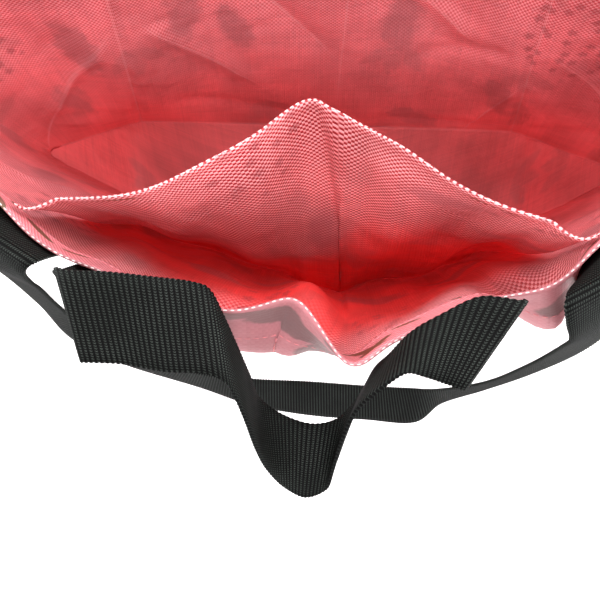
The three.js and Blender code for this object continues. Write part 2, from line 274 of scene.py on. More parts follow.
FEET = column(FOLD_LINES, "footX", "footY", "footZ")
RIMS = column(FOLD_LINES, "rimX", "rimY", "rimZ")
BELLIES = column(FOLD_LINES, "belly")
LOBES = column(FOLD_LINES, "lobe")
POCKET_LINES = column(POCKET_TOP, "line")
POCKET_EDGE = column(POCKET_TOP, "x", "y", "z")
SPANS = len(POCKET_TOP) - 1


def spline(before, start, end, after, share):
    """A smooth way from start to end that keeps the run of the points on both sides."""
    b = end - before
    c = 2 * before - 5 * start + 4 * end - after
    d = -before + 3 * start - 3 * end + after
    return 0.5 * (2 * start + b * share + c * share**2 + d * share**3)


def hump(at, middle, half_width):
    """1 at the middle, falling smoothly to nothing on both sides."""
    return np.exp(-(((at - middle) / half_width) ** 2))


def around(values, at, smooth):
    """A column's values at places along the ring of fold lines."""
    whole = np.floor(at).astype(int)
    share = at - whole
    if values.ndim > 1:
        share = share[..., None]
    before, start, end, after = [values[(whole + step) % LINES] for step in (-1, 0, 1, 2)]
    return spline(before, start, end, after, share) if smooth else start + (end - start) * share


def slack_wall(at, level):
    """The wall as straight lines from its foot to its rim."""
    foot = around(FEET, at, False)
    rim = around(RIMS, at, True)
    return foot + (rim - foot) * level[..., None]


def outwards(at):
    """The level way out of the bag."""
    level = np.full_like(at, OUTWARDS_LEVEL)
    along = slack_wall(at + OUTWARDS_STEP, level) - slack_wall(at - OUTWARDS_STEP, level)
    side = np.stack([along[..., 1], -along[..., 0], 0 * at], -1)
    return side / np.linalg.norm(side, axis=-1, keepdims=True)


def waves(at, level):
    """Long soft waves in the wall, which end at its foot and its rim."""
    rise = sum(depth * np.sin(along * at + up * level + start) for depth, along, up, start in WAVES)
    return rise * np.sin(pi * level)


def wall_point(at, level, lobes=1):
    """The outer face of the wall, as the solid has it, with its lobes or without."""
    belly = around(BELLIES, at, True) * np.sin(pi * level)
    lobe = lobes * around(LOBES, at, True) * hump(level, LOBE_LEVEL, LOBE_HEIGHT)
    swell = belly + lobe + waves(at, level)
    return slack_wall(at, level) + outwards(at) * swell[..., None]


def wall_normal(at, level, lobes=1):
    along = wall_point(at + NEAR_LINE, level, lobes) - wall_point(at - NEAR_LINE, level, lobes)
    above = wall_point(at, np.minimum(1, level + NEAR_LEVEL), lobes)
    normal = np.cross(along, above - wall_point(at, level - NEAR_LEVEL, lobes))
    return normal / np.linalg.norm(normal, axis=-1, keepdims=True)


def cloth_lengths():
    """Cloth from the left seam to each fold line. Between two lines there is as much as the
    mean of foot and rim."""
    shares = np.linspace(0, 1, 21)
    lengths = []
    for line in range(LINES):
        rim = around(RIMS, line + shares[:-1], True)
        rim = np.vstack([rim, around(RIMS, np.array([line + 1.0]), True)])
        foot = np.linalg.norm(FEET[(line + 1) % LINES] - FEET[line])
        lengths.append((np.linalg.norm(np.diff(rim, axis=0), axis=1).sum() + foot) / 2)
    return np.concatenate([[0], np.cumsum(lengths)])


CLOTH_AT = cloth_lengths()
ROUND = CLOTH_AT[-1]


def along_cloth(at):
    """Millimetres of cloth from the left seam, going on past one turn."""
    turns = np.floor(at / LINES)
    return np.interp(at - turns * LINES, np.arange(LINES + 1), CLOTH_AT) + turns * ROUND


def crease(u, v, start, end, depth, width):
    """How far a crease moves each place (u, v) of the cloth."""
    start, end = np.array(start, float), np.array(end, float)
    line = end - start
    length = np.linalg.norm(line)
    share = ((u - start[0]) * line[0] + (v - start[1]) * line[1]) / length**2
    inside = np.clip(share, 0, 1)
    off = np.hypot(u - start[0] - inside * line[0], v - start[1] - inside * line[1])
    ends = np.clip(np.minimum(inside, 1 - inside) * CREASE_TAPER + CREASE_END, 0, 1)
    return depth * ends * np.exp(-((off / width) ** 2) ** CREASE_EDGE)


def on_turn(u, middle):
    """The same place on the turn of cloth that is nearest to middle."""
    return u - ROUND * np.round((u - middle) / ROUND)


def random_fold(rng, across, up, reach):
    """The middle of a random crease and half of its way, in millimetres of cloth."""
    middle = np.array([rng.uniform(*across), rng.uniform(*up)])
    turn = rng.uniform(0, pi)
    return middle, rng.uniform(*reach) * np.array([np.cos(turn), np.sin(turn)])


def small_creases(u, v):
    """Short shallow creases all over, where the sack has been crumpled."""
    rng = np.random.default_rng(SMALL_CREASE_SEED)
    moved = np.zeros_like(u)
    for _ in range(SMALL_CREASES):
        middle, arm = random_fold(rng, (0, ROUND), (0.04 * RIM_HEIGHT, 0.8 * RIM_HEIGHT), (14, 42))
        depth = rng.uniform(0.5, 1.3) * rng.choice([-1, 1])
        near = on_turn(u, middle[0])
        moved += crease(near, v, middle - arm, middle + arm, depth, rng.uniform(2.5, 5))
    return moved


def creases(at, level):
    """How far the placed and the small creases move the wall outwards."""
    u = along_cloth(at)
    v = level * RIM_HEIGHT
    moved = small_creases(u, v)
    for line in WALL_CREASES:
        ends = along_cloth(np.array([line["at1"], line["at2"]], float))
        start = (ends[0], line["level1"] * RIM_HEIGHT)
        end = (ends[1], line["level2"] * RIM_HEIGHT)
        near = on_turn(u, ends.mean())
        moved += crease(near, v, start, end, line["depth"], line["width"])
    return moved


# The fold-line places of the handles' two ends. The wall keeps to its solid there.
HANDLE_ENDS = {
    "front_short": (4.0, 8.7),
    "front_long": (2.62, 11.05),
    "back_short": (19.12, 16.88),
    "back_long": (19.8, 16.22),
}


def free_cloth(at, level):
    """1 where the cloth may crease, falling to 0 where it is sewn and at the rim."""
    free = np.clip((RIM_HELD - level) / HELD_FADE, RIM_CREASE, 1)
    in_front = (at > POCKET_LINES[0]) & (at < POCKET_LINES[-1])
    free = free * (1 - in_front * hump(level, POCKET_FOOT, FOOT_HELD))
    sewn_level = np.clip((level - HANDLES_FROM) / HELD_FADE, 0, 1)
    for end in sum(HANDLE_ENDS.values(), ()):
        off = np.abs((at - end + LINES / 2) % LINES - LINES / 2)
        free = free * (1 - np.clip(HANDLE_FADE - off / HANDLE_REACH, 0, 1) * sewn_level)
    return free


def seen_wall(at, level):
    """The outer face of the wall with its creases. Fold lines are a little rounded low down,
    and small swells carry the front's lobe over to its tip."""
    moved = creases(at, level) * free_cloth(at, level)
    beside = ROUNDING * (1 - level)
    rounded = [wall_point(at + side * beside, level) for side in (-1, 0, 1)]
    wall = np.mean(rounded, axis=0) + outwards(at) * moved[..., None]
    for middle, width, height, way in SWELLS:
        share = hump(at, middle, width) * hump(level, LOBE_LEVEL, height)
        wall = wall + share[..., None] * np.array(way)
    return wall


def grid_quads(rows, columns):
    """The quads of a grid of points that are numbered row by row."""
    corner = (np.arange(rows - 1)[:, None] * columns + np.arange(columns - 1)).ravel()
    return np.stack([corner, corner + 1, corner + columns + 1, corner + columns], 1)


def surface_normals(points, quads):
    """A normal for each point, from the quads round it."""
    a, b, c, d = [points[quads[:, corner]] for corner in range(4)]
    facing = np.cross(c - a, d - b)
    normals = np.zeros_like(points)
    for corner in range(4):
        np.add.at(normals, quads[:, corner], facing)
    return normals / np.maximum(np.linalg.norm(normals, axis=1, keepdims=True), 1e-9)


def open_edges(quads):
    """The corners (face, corner) whose edge no other face shares."""
    start = quads
    end = np.roll(quads, -1, axis=1)
    count = quads.max() + 1
    one_way = start * count + end
    other_way = end * count + start
    return np.argwhere(~np.isin(one_way, other_way) & (start != end))


def closed_sheet(points, quads, uvs, outer, inner, sides):
    """A sheet with its thickness: its face, its back and a strip round its open edges.
    outer and inner are how far its two faces lie from the points. sides gives the materials
    of the face and of the back (one, or one for each quad) and that of the edge."""
    normals = surface_normals(points, quads)
    face = points + normals * np.reshape(outer, (-1, 1))
    back = points - normals * np.reshape(inner, (-1, 1))
    count = len(points)
    edges = open_edges(quads)
    at, corner = edges[:, 0], edges[:, 1]
    following = (corner + 1) % 4
    start, end = quads[at, corner], quads[at, following]
    strip = np.stack([start, start + count, end + count, end], 1)
    strip_uvs = uvs[at[:, None], np.stack([corner, corner, following, following], 1)]
    faces = np.vstack([quads, quads[:, ::-1] + count, strip])
    corner_uvs = np.concatenate([uvs, uvs[:, ::-1], strip_uvs])
    face_side, back_side, edge_side = sides
    slots = np.concatenate(
        [
            np.broadcast_to(face_side, len(quads)),
            np.broadcast_to(back_side, len(quads)),
            np.broadcast_to(edge_side, len(strip)),
        ]
    )
    return np.vstack([face, back]), faces, corner_uvs, slots


def mesh_piece(name, points, faces, uvs, slots, materials):
    """A mesh object in metres from arrays in millimetres. A quad that has closed up at one
    corner becomes a triangle."""
    polygons = []
    corner_uvs = []
    for corners, places in zip(faces.tolist(), (uvs * MM).tolist()):
        keep = [i for i in range(4) if corners[i] != corners[i - 1]]
        polygons.append([corners[i] for i in keep])
        corner_uvs.extend(places[i] for i in keep)
    mesh = bpy.data.meshes.new(name)
    mesh.from_pydata((points * MM).tolist(), [], polygons)
    layer = mesh.uv_layers.new(name="cloth")
    layer.data.foreach_set("uv", np.array(corner_uvs).ravel())
    mesh.polygons.foreach_set("material_index", slots.astype(int))
    mesh.polygons.foreach_set("use_smooth", np.ones(len(polygons), bool))
    for material in materials:
        mesh.materials.append(material)
    mesh.update()
    piece = bpy.data.objects.new(name, mesh)
    bpy.context.scene.collection.objects.link(piece)
    return piece


def ring_places():
    """The places of the wall's columns, closer together where folds are sharp."""
    counts = COLUMNS_FRONT + COLUMNS_BACK
    return np.concatenate([line + np.arange(n) / n for line, n in enumerate(counts)])


def floor_rise(u, v):
    """Small creases in the bottom. They only rise, because the bag stands on it."""
    rng = np.random.default_rng(SMALL_CREASE_SEED + 1)
    risen = np.zeros_like(u)
    for _ in range(FLOOR_CREASES):
        middle, arm = random_fold(rng, (60, 560), (-200, -10), (12, 40))
        risen += crease(u, v, middle - arm, middle + arm, rng.uniform(0.5, 1.6), 4.5)
    return np.clip(risen, 0, 3)


def bottom_grid(foot, places, first):
    """The bottom, as rows from the front half of the foot ring to its back half. first is
    the number of its first point within the whole sack."""
    ring = len(foot)
    half = sum(COLUMNS_FRONT)
    front = np.arange(half + 1)
    back = (ring - front) % ring
    share = np.arange(1, FLOOR_ROWS) / FLOOR_ROWS
    near, far = foot[front[1:-1]], foot[back[1:-1]]
    inside = near + (far - near) * share[:, None, None]
    depth = np.linalg.norm(foot[back] - foot[front], axis=1)
    u = along_cloth(places[front])
    v = -share[:, None] * depth[1:-1]
    inside[..., 2] += floor_rise(np.broadcast_to(u[1:-1], v.shape), v)
    rows = [front]
    for step in range(FLOOR_ROWS - 1):
        middle = first + step * (half - 1) + np.arange(half - 1)
        rows.append(np.concatenate([[front[0]], middle, [front[-1]]]))
    rows.append(back)
    step, rung = np.divmod(grid_quads(FLOOR_ROWS + 1, half + 1), half + 1)
    quads = np.array(rows)[step, rung][:, ::-1]
    uvs = np.stack([u[rung], -depth[rung] * step / FLOOR_ROWS], -1)[:, ::-1]
    return inside.reshape(-1, 3), quads, uvs


def sack_body(materials):
    """One piece of cloth: wall, hem and bottom. Its materials are for the outside, the
    inside, the hem and the wall inside the pocket."""
    places = ring_places()
    ring = len(places)
    below_hem = np.linspace(0, HEM_BOTTOM - HEM_STEP, WALL_ROWS)
    levels = np.concatenate([below_hem, np.linspace(HEM_BOTTOM, 1, HEM_ROWS)])
    rows = len(levels)
    at, level = np.meshgrid(places, levels)
    wall = seen_wall(at, level)
    next_places = np.append(places, LINES)
    quads = grid_quads(rows, ring + 1)
    row, col = quads // (ring + 1), quads % (ring + 1)
    wall_quads = row * ring + col % ring
    before_seam = along_cloth(next_places - BEFORE_SEAM)
    wall_uvs = np.stack([before_seam[col], levels[row] * RIM_HEIGHT], -1)
    bottom, bottom_quads, bottom_uvs = bottom_grid(wall[0], places, rows * ring)

    points = np.vstack([wall.reshape(-1, 3), bottom])
    quads = np.vstack([wall_quads, bottom_quads])
    uvs = np.vstack([wall_uvs, bottom_uvs])
    inner = np.full(len(points), CLOTH)
    inner[WALL_ROWS * ring : rows * ring] = HEM_CLOTH
    quad_at, quad_level = next_places[col[:, 0]], levels[row[:, 0]]
    # The wall behind the pocket, from a little below its foot, gets the darker pocket material as
    # painted shade.
    behind = (quad_at > POCKET_LINES[0]) & (quad_at < POCKET_LINES[-1])
    in_pocket = behind & (quad_level > POCKET_FOOT - BELOW_FOOT)
    in_hem = row[:, 0] >= WALL_ROWS - 1
    wall_side = np.where(in_hem, 2, np.where(in_pocket, 3, 1))
    back_side = np.append(wall_side, np.full(len(bottom_quads), 1))
    zero = np.zeros(len(points))
    closed = closed_sheet(points, quads, uvs, zero, inner, (0, back_side, 0))
    return mesh_piece("sack_cloth", *closed, materials)


POCKET_CREASES = table(
    ["name", "place1", "height1", "place2", "height2", "depth", "width"],
    [
        ["peak", 6.35, 1.0, 6.75, 0.45, -2.4, 5],
        ["beside the peak", 7.1, 0.98, 7.4, 0.5, 2.0, 9],
        ["right ridge", 8.0, 1.0, 8.1, 0.55, -2.2, 8],
        ["right hollow", 9.0, 0.95, 8.7, 0.5, 1.8, 9],
        ["right end", 11.2, 0.95, 10.2, 0.5, -1.6, 8],
        ["left hollow", 4.6, 0.9, 5.6, 0.45, 2.2, 12],
        ["left ridge", 3.2, 0.85, 4.4, 0.4, -1.6, 10],
        ["left end", 1.2, 0.9, 2.6, 0.55, 1.2, 7],
        ["low fold", 4.0, 0.32, 7.4, 0.26, 1.5, 8],
    ],
)


def at_pocket_top(values, place):
    whole = np.minimum(np.floor(place).astype(int), SPANS - 1)
    share = place - whole
    if values.ndim > 1:
        share = share[..., None]
    pick = [values[np.clip(whole + step, 0, SPANS)] for step in (-1, 0, 1, 2)]
    return spline(*pick, share)


def pocket_point(place, height):
    """The middle of the pocket's panel, as the solid has it."""
    at = at_pocket_top(POCKET_LINES, place)
    inset = SOLID_HEM + POCKET_GAP + SOLID_CLOTH / 2

    def on_wall(level):
        return wall_point(at, level, 0) - wall_normal(at, level, 0) * inset

    pull = at_pocket_top(POCKET_EDGE, place) - on_wall(np.full_like(place, POCKET_SIDE_TOP))
    from_side = np.minimum(place, SPANS - place) / SPANS
    lean = height**POCKET_LEAN * np.minimum(1, from_side / SEWN_SIDE)
    level = POCKET_FOOT + (POCKET_SIDE_TOP - POCKET_FOOT) * height
    return on_wall(level) + pull * lean[..., None]


def seen_panel(place, height):
    """The middle of the panel, with its foot sewn to the wall as it is seen."""
    at = at_pocket_top(POCKET_LINES, place)
    level = POCKET_FOOT + (POCKET_SIDE_TOP - POCKET_FOOT) * height
    sewn = seen_wall(at, level) - wall_normal(at, level) * FOOT_INSET
    share = np.clip(1 - height / FOOT_SHARE, 0, 1)[..., None]
    return pocket_point(place, height) * (1 - share) + sewn * share


def pocket_lengths(place):
    """Millimetres of cloth across the panel, along the middle of its height."""
    fine = np.linspace(0, SPANS, 261)
    line = pocket_point(fine, np.full_like(fine, 0.6))
    steps = np.linalg.norm(np.diff(line, axis=0), axis=1)
    return np.interp(place, fine, np.concatenate([[0], np.cumsum(steps)]))


POCKET_DEPTH = (POCKET_SIDE_TOP - POCKET_FOOT) * RIM_HEIGHT


def pocket_creases(u, v):
    """How far the placed and the small creases move the panel."""
    moved = np.zeros_like(u)
    for line in POCKET_CREASES:
        ends = pocket_lengths(np.array([line["place1"], line["place2"]], float))
        start = (ends[0], line["height1"] * POCKET_DEPTH)
        end = (ends[1], line["height2"] * POCKET_DEPTH)
        moved += crease(u, v, start, end, line["depth"], line["width"])
    rng = np.random.default_rng(SMALL_CREASE_SEED + 2)
    for _ in range(POCKET_SMALL_CREASES):
        middle, arm = random_fold(rng, (30, 280), (30, 190), (10, 30))
        moved += crease(u, v, middle - arm, middle + arm, rng.uniform(-0.8, 0.8), 4)
    return moved


def inner_pocket(materials):
    """The panel. Its materials are for the side to the pocket, the side to the bag and the
    hem."""
    heights = np.linspace(0, 1, POCKET_ROWS)
    hem_row = int((1 - POCKET_HEM / POCKET_DEPTH) * POCKET_ROWS)
    places = np.linspace(0, SPANS, SPANS * POCKET_COLUMNS_PER_SPAN + 1)
    place, height = np.meshgrid(places, heights)
    u, v = pocket_lengths(place), height * POCKET_DEPTH
    free = np.clip(np.minimum(place, SPANS - place) / 1.4, 0, 1) * np.clip(height * 4, 0, 1)
    moved = pocket_creases(u, v) * free
    points = seen_panel(place, height).reshape(-1, 3)
    quads = grid_quads(POCKET_ROWS, len(places))
    points = points + surface_normals(points, quads) * moved.reshape(-1, 1)
    uvs = np.stack([u.ravel(), v.ravel()], -1)[quads]
    hem = quads[:, 0] // len(places) >= hem_row
    thick = np.full(len(points), CLOTH / 2)
    thick[(hem_row + 1) * len(places) :] = HEM_CLOTH / 2
    sides = (np.where(hem, 2, 0), 1, 0)
    return mesh_piece("pocket_cloth", *closed_sheet(points, quads, uvs, thick, thick, sides), materials)


# Steps along and up the wall, to find its highest place near each point
NEARBY = [(0.25, 0), (-0.25, 0), (0, 0.03), (0, -0.03)]
SIDE_STEP = 0.2  # fold lines to each side, to find how wide the wall is there


def sewn_row(at, level, left_to_right):
    """Points across the webbing where it is sewn on: it bridges the wall's hollows."""

    def on_wall(place):
        place = np.asarray(place, float)
        height = np.full_like(place, level)
        foot = wall_point(place, height)
        normal = wall_normal(place, height)
        rises = [
            ((wall_point(place + along, height + up) - foot) * normal).sum(-1)
            for along, up in NEARBY
        ]
        lift = np.maximum(0, np.max(rises, axis=0)) + SEWN_GAP + WEBBING / 2
        return foot + normal * lift[..., None]

    ends = on_wall([at + SIDE_STEP, at - SIDE_STEP])
    reach = WEBBING_WIDTH / 2 / (np.linalg.norm(ends[0] - ends[1]) / (2 * SIDE_STEP))
    return on_wall(at + (2 * np.linspace(0, 1, ACROSS) - 1) * reach * left_to_right)


def handle_rows(free, ends, near_first):
    """Sections across the webbing: up the wall, along its free edges and down the wall."""
    start, finish = ends
    sewn = SEWN_TOP - np.linspace(1, 0, SEWN_ROWS) * STITCHED_LENGTH / RIM_HEIGHT
    rising = [sewn_row(start, level, near_first) for level in sewn]
    falling = [sewn_row(finish, level, -near_first) for level in sewn[::-1]]
    edges = np.array(free, float)
    share = np.linspace(0, 1, ACROSS)[:, None]
    near, outer = edges[:, None, :3], edges[:, None, 3:]
    loose = near + (outer - near) * share
    return np.concatenate([rising, loose, falling])


def both_halves(half):
    """A handle's edges from those of its left half."""
    mirrored = [[-x1, y1, z1, -x2, y2, z2] for x1, y1, z1, x2, y2, z2 in half[-2::-1]]
    return half + mirrored


def smoothed(rows, steps):
    """Sections between the given ones, on a smooth path through them."""
    last = len(rows) - 1
    made = []
    for row in range(last):
        pick = [rows[np.clip(row + step, 0, last)] for step in (-1, 0, 1, 2)]
        made.extend(spline(*pick, step / steps) for step in range(steps))
    return np.array(made + [rows[last]])


def spaced_webbing(rows):
    """Sections at even lengths along the webbing, with points across at even widths."""
    fine = smoothed(rows, 10)
    middle = fine[:, ACROSS // 2]
    along = np.concatenate([[0], np.cumsum(np.linalg.norm(np.diff(middle, axis=0), axis=1))])
    count = int(round(along[-1] / (RIB_PITCH / ROWS_PER_RIB)))
    even = np.linspace(0, along[-1], count + 1)
    flat = fine.reshape(len(fine), -1)
    sections = np.array([np.interp(even, along, values) for values in flat.T]).T
    sections = sections.reshape(len(even), ACROSS, 3)
    across = np.linspace(0, ACROSS - 1, WEBBING_COLUMNS)
    whole = np.minimum(across.astype(int), ACROSS - 2)
    part = (across - whole)[:, None]
    return sections[:, whole] * (1 - part) + sections[:, whole + 1] * part, even


def handle(name, rows, tree, material):
    """The ribbed webbing of one handle, and its length in millimetres."""
    sections, along = spaced_webbing(rows)
    points = sections.reshape(-1, 3)
    quads = grid_quads(len(along), WEBBING_COLUMNS)
    across = np.linspace(-0.5, 0.5, WEBBING_COLUMNS) * WEBBING_WIDTH
    u, v = np.meshgrid(across, along)
    uvs = np.stack([u.ravel(), v.ravel()], -1)[quads]
    half = np.full(len(points), BAND / 2)
    closed = closed_sheet(points, quads, uvs, half, half, (0, 0, 0))
    piece = mesh_piece(name, *closed, [material])
    lengths = piece.data.attributes.new("along", "FLOAT", "POINT")
    lengths.data.foreach_set("value", np.tile(v.ravel() * MM, 2))
    grown(piece, tree, {"Rib pitch": RIB_PITCH * MM, "Rib height": RIB_HEIGHT * MM, "Webbing": material})
    return piece, along[-1]


def add_node(tree, kind, inputs=(), **settings):
    """Adds a node with its settings, and gives each input its value or its link."""
    made = tree.nodes.new(kind)
    for name, value in settings.items():
        setattr(made, name, value)
    for name, value in dict(inputs).items():
        if isinstance(value, bpy.types.NodeSocket):
            tree.links.new(value, made.inputs[name])
        else:
            made.inputs[name].default_value = value
    return made


def calculated(tree, operation, first, second=0.0):
    return add_node(tree, "ShaderNodeMath", {0: first, 1: second}, operation=operation).outputs[0]


def new_tree(name, inputs):
    """A Geometry Nodes tree with named inputs: (name, socket type) each."""
    tree = bpy.data.node_groups.new(name, "GeometryNodeTree")
    tree.interface.new_socket("Geometry", in_out="INPUT", socket_type="NodeSocketGeometry")
    for label, kind in inputs:
        tree.interface.new_socket(label, in_out="INPUT", socket_type=kind)
    tree.interface.new_socket("Geometry", in_out="OUTPUT", socket_type="NodeSocketGeometry")
    return tree, tree.nodes.new("NodeGroupInput"), tree.nodes.new("NodeGroupOutput")


def finish_tree(tree, geometry, material, output):
    """Ends a tree in Realize Instances and Set Material."""
    real = add_node(tree, "GeometryNodeRealizeInstances", {"Geometry": geometry})
    inputs = {"Geometry": real.outputs["Geometry"], "Material": material}
    coat = add_node(tree, "GeometryNodeSetMaterial", inputs)
    tree.links.new(coat.outputs["Geometry"], output.inputs["Geometry"])


def webbing_ribs_tree():
    """Raises ribs across a band, from the length along it that each point carries."""
    tree, source, output = new_tree(
        "webbing ribs",
        [
            ("Rib pitch", "NodeSocketFloat"),
            ("Rib height", "NodeSocketFloat"),
            ("Webbing", "NodeSocketMaterial"),
        ],
    )
    along = add_node(tree, "GeometryNodeInputNamedAttribute", {"Name": "along"}, data_type="FLOAT")
    turns = calculated(tree, "DIVIDE", along.outputs[0], source.outputs["Rib pitch"])
    wave = calculated(tree, "SINE", calculated(tree, "MULTIPLY", turns, pi))
    crown = calculated(tree, "POWER", calculated(tree, "ABSOLUTE", wave), RIB_ROUNDNESS)
    rise = calculated(tree, "SUBTRACT", crown, RIB_SUNK)
    lift = calculated(tree, "MULTIPLY", rise, source.outputs["Rib height"])
    normal = add_node(tree, "GeometryNodeInputNormal").outputs[0]
    offset = add_node(tree, "ShaderNodeVectorMath", {0: normal, "Scale": lift}, operation="SCALE")
    inputs = {"Geometry": source.outputs["Geometry"], "Offset": offset.outputs[0]}
    move = add_node(tree, "GeometryNodeSetPosition", inputs)
    finish_tree(tree, move.outputs["Geometry"], source.outputs["Webbing"], output)
    return tree


def stitches_tree():
    """Lays short rounded stitches, or bends of tape, along each line of the mesh."""
    tree, source, output = new_tree(
        "stitches",
        [
            ("Pitch", "NodeSocketFloat"),
            ("Length", "NodeSocketFloat"),
            ("Radius", "NodeSocketFloat"),
            ("Thread", "NodeSocketMaterial"),
        ],
    )
    curve = add_node(tree, "GeometryNodeMeshToCurve", {"Mesh": source.outputs["Geometry"]})
    inputs = {"Curve": curve.outputs["Curve"], "Length": source.outputs["Pitch"]}
    points = add_node(tree, "GeometryNodeCurveToPoints", inputs, mode="LENGTH")
    bead = add_node(tree, "GeometryNodeMeshUVSphere", {"Segments": 6, "Rings": 5})
    smooth = add_node(tree, "GeometryNodeSetShadeSmooth", {"Geometry": bead.outputs["Mesh"]})
    radius = source.outputs["Radius"]
    half_length = calculated(tree, "MULTIPLY", source.outputs["Length"], 0.5)
    size = add_node(tree, "ShaderNodeCombineXYZ", {"X": radius, "Y": radius, "Z": half_length})
    inputs = {
        "Points": points.outputs["Points"],
        "Rotation": points.outputs["Rotation"],
        "Instance": smooth.outputs["Geometry"],
        "Scale": size.outputs[0],
    }
    laid = add_node(tree, "GeometryNodeInstanceOnPoints", inputs)
    finish_tree(tree, laid.outputs["Instances"], source.outputs["Thread"], output)
    return tree


def grown(piece, tree, sizes):
    """Runs a tree on a piece and keeps the result as its plain mesh."""
    modifier = piece.modifiers.new(tree.name, "NODES")
    modifier.node_group = tree
    for item in tree.interface.items_tree:
        if item.item_type == "SOCKET" and item.in_out == "INPUT" and item.name in sizes:
            modifier[item.identifier] = sizes[item.name]
    seen = bpy.context.evaluated_depsgraph_get()
    mesh = bpy.data.meshes.new_from_object(
        piece.evaluated_get(seen), preserve_all_data_layers=True, depsgraph=seen
    )
    piece.modifiers.remove(modifier)
    piece.data = mesh
    mesh.name = piece.name
    return piece


def sewn_line(name, lines, tree, thread, pitch, length, radius):
    """Stitches along lines of points in millimetres."""
    points, edges = [], []
    for line in lines:
        first = len(points)
        points.extend((np.asarray(line) * MM).tolist())
        edges.extend((i, i + 1) for i in range(first, len(points) - 1))
    mesh = bpy.data.meshes.new(name)
    mesh.from_pydata(points, edges, [])
    piece = bpy.data.objects.new(name, mesh)
    bpy.context.scene.collection.objects.link(piece)
    sizes = {"Pitch": pitch * MM, "Length": length * MM, "Radius": radius * MM, "Thread": thread}
    return grown(piece, tree, sizes)


class Finish:
    """One material: short calls that add its nodes and link them."""

    def __init__(self, name):
        self.material = bpy.data.materials.new(name)
        self.material.use_nodes = True
        self.tree = self.material.node_tree
        self.tree.nodes.clear()
        self.out = self.tree.nodes.new("ShaderNodeOutputMaterial")

    def node(self, kind, inputs=(), **settings):
        return add_node(self.tree, kind, inputs, **settings)

    def math(self, operation, first, second=0.0):
        return calculated(self.tree, operation, first, second)

    def shown_by(self, shader):
        """Ends the material in a shader."""
        self.tree.links.new(shader.outputs[0], self.out.inputs["Surface"])
        return self.material

    def step(self, value, low, high, start=0.0, end=1.0):
        """Eases from start to end as the value goes from low to high."""
        inputs = {"Value": value, 1: low, 2: high, 3: start, 4: end}
        made = self.node("ShaderNodeMapRange", inputs, interpolation_type="SMOOTHSTEP")
        return made.outputs["Result"]

    def mix(self, share, first, second, blend="MIX"):
        made = self.node("ShaderNodeMix", {0: share}, data_type="RGBA", blend_type=blend)
        for socket, value in ((made.inputs[6], first), (made.inputs[7], second)):
            if isinstance(value, bpy.types.NodeSocket):
                self.tree.links.new(value, socket)
            else:
                socket.default_value = (*value, 1)
        return made.outputs[2]

    def noise(self, place, scale, detail=2.0, rough=0.5):
        inputs = {"Vector": place, "Scale": scale, "Detail": detail, "Roughness": rough}
        return self.node("ShaderNodeTexNoise", inputs).outputs["Fac"]

    def cloth_place(self):
        return self.node("ShaderNodeUVMap", uv_map="cloth").outputs["UV"]

    def split(self, vector):
        made = self.node("ShaderNodeSeparateXYZ", {"Vector": vector})
        return made.outputs["X"], made.outputs["Y"]

    def bumps(self, *layers):
        """Bump nodes in a row: (height, strength, distance in millimetres) each."""
        normal = None
        for height, strength, distance in layers:
            inputs = {"Height": height, "Strength": strength, "Distance": distance * MM}
            if normal is not None:
                inputs["Normal"] = normal
            normal = self.node("ShaderNodeBump", inputs).outputs["Normal"]
        return normal


def weave(finish, u, v):
    """The plain weave: from -1 where one set of tapes lies on top to 1 where the other does."""
    across = finish.math("SINE", finish.math("MULTIPLY", u, pi / (TAPE * MM)))
    along = finish.math("SINE", finish.math("MULTIPLY", v, pi / (TAPE * MM)))
    return finish.math("MULTIPLY", across, along)


def tape_tones(finish, place, u, v):
    """Each tape is a little lighter or darker than the next, and fades along its length."""
    coarse = finish.noise(place, 34.0, 3.0)
    tones = []
    for way, other in ((u, v), (v, u)):
        line = finish.math("FLOOR", finish.math("DIVIDE", way, TAPE * MM))
        slow = finish.math("MULTIPLY", other, 9.0)
        at = finish.node("ShaderNodeCombineXYZ", {"X": line, "Y": slow}).outputs[0]
        tones.append(finish.noise(at, 1.7, 1.0))
    both = finish.math("ADD", tones[0], tones[1])
    return finish.math("ADD", finish.math("MULTIPLY", both, 0.5), coarse)


# The print's large leaves and its groups of blossoms: the middle of each on the cloth, its
# length and width in millimetres and its turn from upright in degrees.
LARGE_LEAVES = table(
    ["at", "level", "length", "width", "turn"],
    [
        [20.5, 0.43, 62, 26, 8],
        [19.3, 0.5, 54, 24, -10],
        [18.85, 0.42, 46, 20, 20],
        [17.3, 0.42, 62, 26, -6],
        [20.95, 0.2, 48, 18, 30],
        [0.1, 0.2, 50, 22, -15],
        [16.25, 0.22, 52, 22, 12],
        [17.1, 0.06, 46, 20, 60],
        [21.2, 0.72, 56, 24, -20],
        [15.0, 0.7, 58, 24, 15],
        [13.6, 0.35, 54, 22, -25],
        [1.3, 0.4, 54, 22, 20],
        [4.5, 0.62, 40, 14, 70],
        [5.6, 0.5, 44, 16, 100],
        [7.6, 0.55, 52, 24, 80],
        [9.3, 0.5, 42, 18, 60],
        [11.4, 0.35, 54, 22, 5],
        [3.0, 0.3, 54, 22, -8],
        [6.4, 0.15, 58, 24, 12],
        [9.8, 0.1, 52, 22, -14],
    ],
)
BLOSSOM_GROUPS = table(
    ["at", "level", "length", "width", "turn"],
    [
        [15.7, 0.52, 110, 70, 10],
        [17.9, 0.75, 80, 60, 0],
        [21.6, 0.5, 80, 50, 20],
        [12.6, 0.6, 90, 60, -10],
        [5.4, 0.7, 60, 50, 0],
        [7.9, 0.8, 70, 50, 0],
        [2.2, 0.7, 90, 60, 0],
    ],
)
